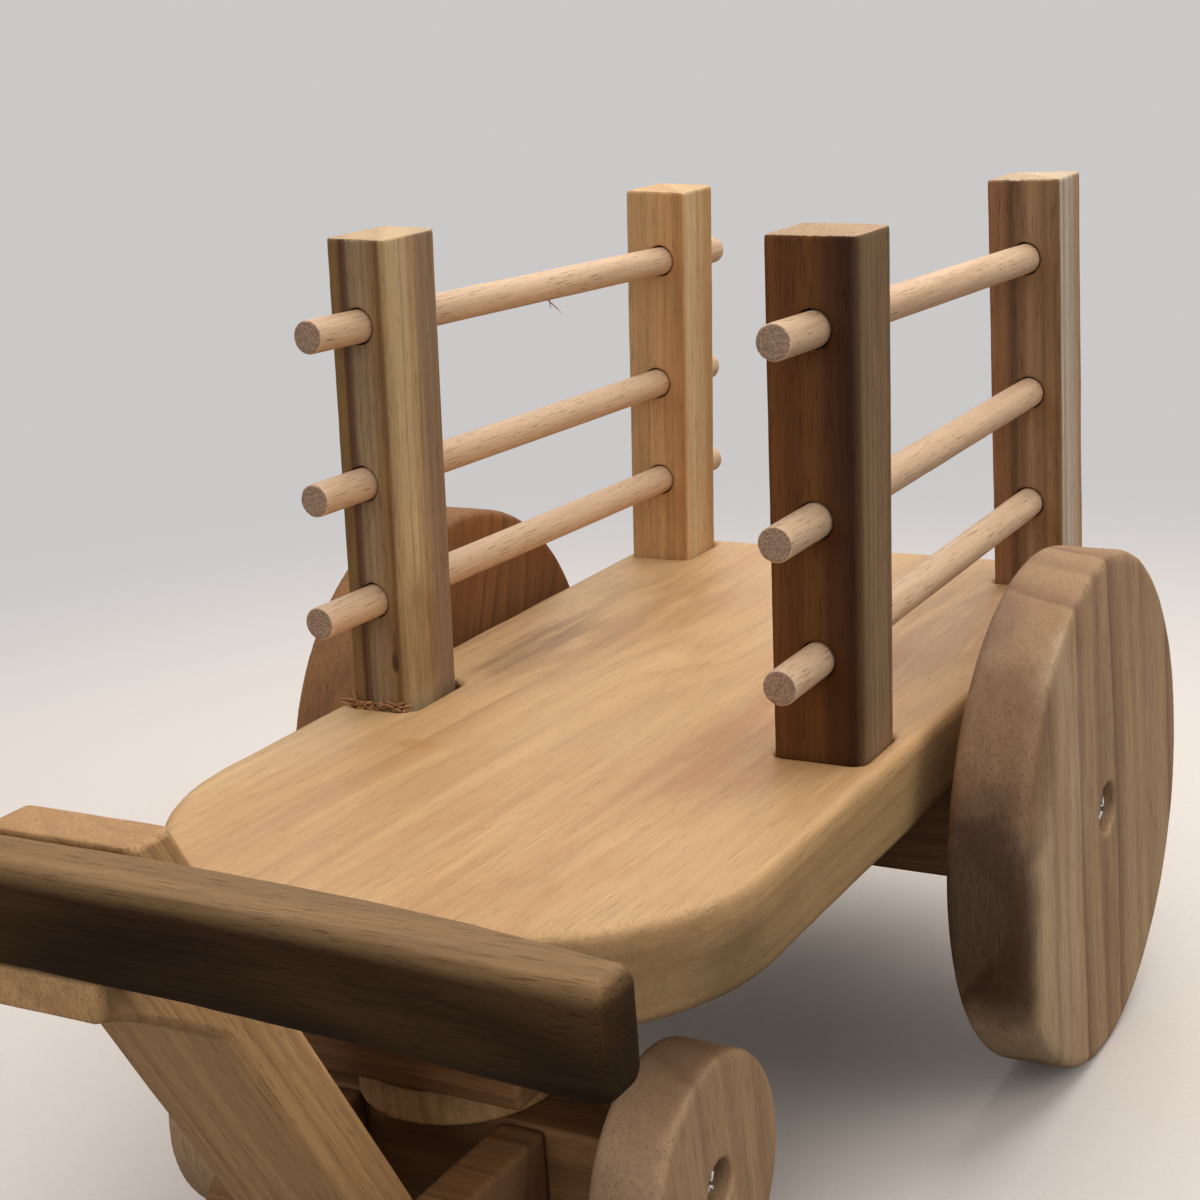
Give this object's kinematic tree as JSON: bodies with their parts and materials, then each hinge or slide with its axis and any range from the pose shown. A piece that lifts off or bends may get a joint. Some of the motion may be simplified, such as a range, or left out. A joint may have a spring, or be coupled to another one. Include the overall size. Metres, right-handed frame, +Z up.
{
  "type": "push along truck",
  "caption": "Wooden toy truck: plank deck with slatted dowel sides on corner posts, large solid rear wheels, small steered front axle and a tilting drawbar with a cross handle.",
  "frame": {"origin": "on the ground, at the middle of the truck's footprint along and across", "axes": "+Z up, -Y towards the front, where the drawbar is; left and right are as seen from the front, so right is +X"},
  "size_m": [0.22, 0.371, 0.2094],
  "materials": {
    "deck_wood": "oiled light brown hardwood board, long straight and wavy grain, softly rounded edges",
    "striped_post_wood": "striped brown, grey and ochre wood, sawn ends",
    "dark_post_wood": "dark walnut-like wood with a paler side",
    "pale_post_wood": "pale orange-tan wood, sawn ends",
    "brown_post_wood": "mid-brown wood with a pale sapwood corner",
    "beech_dowel": "pinkish cream dowel with fine flecks and darker end grain",
    "wheel_wood": "mid-brown solid wood wheel, upright grain lines",
    "dark_wheel_wood": "dark brown solid wood wheel",
    "axle_wood": "dark brown beam",
    "handle_wood": "dark brown bar",
    "drawbar_wood": "light brown board",
    "steel": "bright zinc-plated steel"
  },
  "bodies": {
    "chassis": {"deck": "deck_wood", "post_front_left": "striped_post_wood", "post_front_right": "dark_post_wood", "post_rear_left": "pale_post_wood", "post_rear_right": "brown_post_wood", "rail_left_top": "beech_dowel", "rail_left_middle": "beech_dowel", "rail_left_bottom": "beech_dowel", "rail_right_top": "beech_dowel", "rail_right_middle": "beech_dowel", "rail_right_bottom": "beech_dowel", "post_screw_front_left": "steel", "post_screw_front_right": "steel", "post_screw_rear_left": "steel", "post_screw_rear_right": "steel", "rear_axle_beam": "axle_wood", "beam_screw_left": "steel", "beam_screw_right": "steel", "rear_axle_screw_left": "steel", "rear_axle_screw_right": "steel", "rear_washer_left": "steel", "rear_washer_right": "steel", "front_bolster": "axle_wood", "bolster_screw_front_left": "steel", "bolster_screw_front_right": "steel", "bolster_screw_rear_left": "steel", "bolster_screw_rear_right": "steel", "turntable_washer": "steel", "king_screw": "steel"},
    "rear_wheel_left": {"rear_wheel_left": "dark_wheel_wood"},
    "rear_wheel_right": {"rear_wheel_right": "wheel_wood"},
    "front_axle": {"steering_beam": "axle_wood", "turntable_disc": "drawbar_wood", "turntable_screw_left": "steel", "turntable_screw_right": "steel", "front_axle_screw_left": "steel", "front_axle_screw_right": "steel", "front_washer_left": "steel", "front_washer_right": "steel", "drawbar_cheek_left": "axle_wood", "drawbar_cheek_right": "axle_wood", "cheek_screw_left": "steel", "cheek_screw_right": "steel", "drawbar_pin": "beech_dowel"},
    "front_wheel_left": {"front_wheel_left": "wheel_wood"},
    "front_wheel_right": {"front_wheel_right": "wheel_wood"},
    "drawbar": {"drawbar": "drawbar_wood", "handle_bar": "handle_wood", "handle_screw_left": "steel", "handle_screw_right": "steel"}
  },
  "joints": [
    {"name": "rear_wheel_left_spin", "type": "hinge", "parent": "chassis", "child": "rear_wheel_left", "pos_m": [-0.089, 0.0788, 0.0624], "axis": [1, 0, 0], "continuous": true},
    {"name": "rear_wheel_right_spin", "type": "hinge", "parent": "chassis", "child": "rear_wheel_right", "pos_m": [0.089, 0.0788, 0.0624], "axis": [1, 0, 0], "continuous": true},
    {"name": "steering", "type": "hinge", "parent": "chassis", "child": "front_axle", "pos_m": [0, -0.0595, 0.0483], "axis": [0, 0, 1], "range_deg": [-20, 20]},
    {"name": "front_wheel_left_spin", "type": "hinge", "parent": "front_axle", "child": "front_wheel_left", "pos_m": [-0.052, -0.0595, 0.0275], "axis": [1, 0, 0], "continuous": true},
    {"name": "front_wheel_right_spin", "type": "hinge", "parent": "front_axle", "child": "front_wheel_right", "pos_m": [0.052, -0.0595, 0.0275], "axis": [1, 0, 0], "continuous": true},
    {"name": "drawbar_tilt", "type": "hinge", "parent": "front_axle", "child": "drawbar", "pos_m": [0, -0.104, 0.0275], "axis": [1, 0, 0], "range_deg": [-2, 58]}
  ]
}
